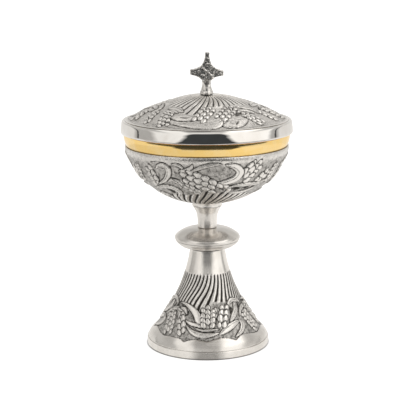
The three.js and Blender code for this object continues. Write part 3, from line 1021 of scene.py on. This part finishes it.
def studio_floor():
    """The white floor, and a second disc under it that only the metal mirrors.

    The white floor glows, with a painted contact shadow only where the foot meets it. The mirrored one is
    dark far out in front, has a painted shadow of the vessel close to the foot, and painted light that makes
    it brighter on the right.
    """
    s = Shader("floor_white")
    # painted contact shadow: the floor's glow drops where the foot shuts out the open air
    open_air = s.add("ShaderNodeAmbientOcclusion", {"Distance": CONTACT_SHADE}).outputs["AO"]
    glow = s.between(open_air, 0.5, 0.9, 0.0, 0.72)
    s.set(Metallic=0.0, Roughness=0.6, Base_Color=(0.6, 0.6, 0.6, 1.0))
    s.set(Emission_Color=(1, 1, 1, 1), Emission_Strength=glow)
    floor = disc("floor", FLOOR_RADIUS, 0.0, s.material)
    floor.visible_glossy = False
    s = Shader("floor_mirrored")
    x, y, _ = s.parts_of(s.place())
    aside = s.number("ABSOLUTE", s.number("ARCTAN2", x, s.number("MULTIPLY", y, -1.0)))
    away = s.length_of(x, y)
    reach = s.between(away, FLOOR_DARK_FROM, FLOOR_MIRRORED, math.radians(32), math.radians(46))
    within = s.between(s.number("SUBTRACT", reach, aside), -0.03, 0.03)
    far = s.number("MULTIPLY", s.between(away, FLOOR_DARK_FROM, FLOOR_DARK_FROM + 0.015), within)
    # painted shadow of the vessel on the mirrored floor, close to the foot and in front of it
    shadow_near_foot = s.between(away, FLOOR_FOOT_SHADE + 0.03, FLOOR_FOOT_SHADE)
    near = s.number("MULTIPLY", shadow_near_foot, s.between(aside, 0.36, 0.16))
    # painted light: the mirrored floor glows brighter on the right
    painted_light_right = s.between(x, -0.2, 0.2, 0.88, 1.07)
    open_floor = s.number("MULTIPLY", s.between(near, 0.0, 1.0, 0.88, 0.36), painted_light_right)
    lit = s.between(far, 0.0, 1.0, open_floor, 0.03)
    s.set(Metallic=0.0, Base_Color=(0, 0, 0, 1), Emission_Color=(1, 0.985, 0.96, 1), Emission_Strength=lit)
    mirrored = disc("floor_mirrored", FLOOR_MIRRORED, -FLOOR_GAP, s.material)
    mirrored.visible_camera = False
    mirrored.visible_diffuse = False
    mirrored.visible_shadow = False


def disc(name, radius, height, material, sides=64):
    """A flat round part of the stage."""
    angles = np.arange(sides) / sides * 2 * np.pi
    mesh = bpy.data.meshes.new(name)
    rim = [(radius * math.cos(a), radius * math.sin(a), height) for a in angles]
    mesh.from_pydata(rim, [], [tuple(range(sides))])
    mesh.materials.append(material)
    piece = bpy.data.objects.new(name, mesh)
    bpy.context.scene.collection.objects.link(piece)
    return piece


def studio_world():
    """A white room with a dark front, where the viewer stands, and grey gaps between the soft panels.

    Both ramps go by the angle from the front, from far left through the front to far right. The high one
    holds well above the horizon, where the edges of the panels lean back. A pale patch stands over the dark
    front. Far below the horizon everything is pale, like the floor. The camera itself sees plain white.
    """
    s = Shader.of_world("studio")
    x, y, z = s.parts_of(s.place("Generated"))
    ahead = s.number("SUBTRACT", s.number("MAXIMUM", z, 0.0), y)
    turn = s.number("ARCTAN2", x, ahead)
    low = band_ramp(s, turn, [
        (-180, 0.84), (-112, 0.87), (-106, 0.5), (-76, 0.5), (-66, 0.95), (-44, 1.0),
        (44, 1.25), (86, 1.2), (94, 0.5), (106, 0.5), (112, 0.88), (180, 0.84)])
    high = band_ramp(s, turn, [
        (-180, 0.6), (-90, 0.66), (-62, 0.54), (-48, 0.55), (-40, 1.05), (-20, 1.1), (-14, 0.5), (12, 0.49),
        (18, 1.3), (46, 1.3), (58, 0.65), (75, 0.58), (100, 0.78), (180, 0.6)])
    aside = s.number("ABSOLUTE", turn)
    glow = s.number("MULTIPLY", s.between(aside, 0.36, 0.24), s.between(z, 0.62, 0.46))
    above = s.blend(glow, s.blend(s.between(z, 0.12, 0.34), low, high), ROOM_WHITE)
    lined = s.blend(side_line(s, z, aside), above, ROOM_GAP)
    pale = s.blend(s.between(z, -0.08, -0.14), lined, ROOM_WHITE)
    fronted = s.blend(dark_front(s, z, aside), pale, ROOM_FRONT)
    floor = s.blend(s.between(z, -0.45, -0.55), fronted, ROOM_WHITE)
    seen = s.add("ShaderNodeLightPath").outputs["Is Camera Ray"]
    s.feed(s.tree.nodes["Background"].inputs["Color"], s.blend(seen, floor, (1.0, 1.0, 1.0)))


def side_line(s, z, aside):
    """The thin dark line on each side, further back the higher it goes."""
    line_at = s.between(z, 0.0, 0.25, math.radians(102), math.radians(108))
    off_line = s.number("ABSOLUTE", s.number("SUBTRACT", aside, line_at))
    line = s.number("MULTIPLY", s.between(off_line, 0.045, 0.02), s.between(z, -0.12, -0.06))
    return s.number("MULTIPLY", line, s.between(z, 0.34, 0.3))


def dark_front(s, z, aside):
    """The dark front, which narrows on the way up, and again below the horizon on the way down."""
    upper = s.between(z, -0.05, 0.26, math.radians(39), math.radians(13))
    lower = s.between(z, -0.3, -0.21, math.radians(7), math.radians(50))
    edge = s.number("ADD", upper, s.number("MULTIPLY", s.number("LESS_THAN", z, -0.15), lower))
    inside = s.between(s.number("SUBTRACT", edge, aside), -0.06, 0.06)
    return s.number("MULTIPLY", inside, s.between(z, 0.27, 0.24))


def band_ramp(s, turn, bands):
    """A ramp of brightness over an angle, from half a turn left to half a turn right."""
    ramp = s.add("ShaderNodeValToRGB", {"Fac": s.between(turn, -math.pi, math.pi)})
    elements = ramp.color_ramp.elements
    while len(elements) < len(bands):
        elements.new(0.5)
    for element, (degrees, value) in zip(elements, bands):
        element.position = degrees / 360 + 0.5
        element.color = (value, value * 0.985, value * 0.96, 1)
    return ramp.outputs["Color"]


def soft_light(name, place, target, size, watts):
    """A square area light at a place, facing a target."""
    data = bpy.data.lights.new(name, "AREA")
    data.energy, data.size = watts, size
    light = bpy.data.objects.new(name, data)
    light.location = place
    light.rotation_euler = (Vector(target) - Vector(place)).to_track_quat("-Z", "Y").to_euler()
    bpy.context.scene.collection.objects.link(light)


camera()
studio_floor()
studio_world()
soft_light("top", place=(0.5, -0.2, 1.2), target=(0, 0, 0.1), size=1.0, watts=1.0)
bpy.context.scene.view_settings.view_transform = "Standard"
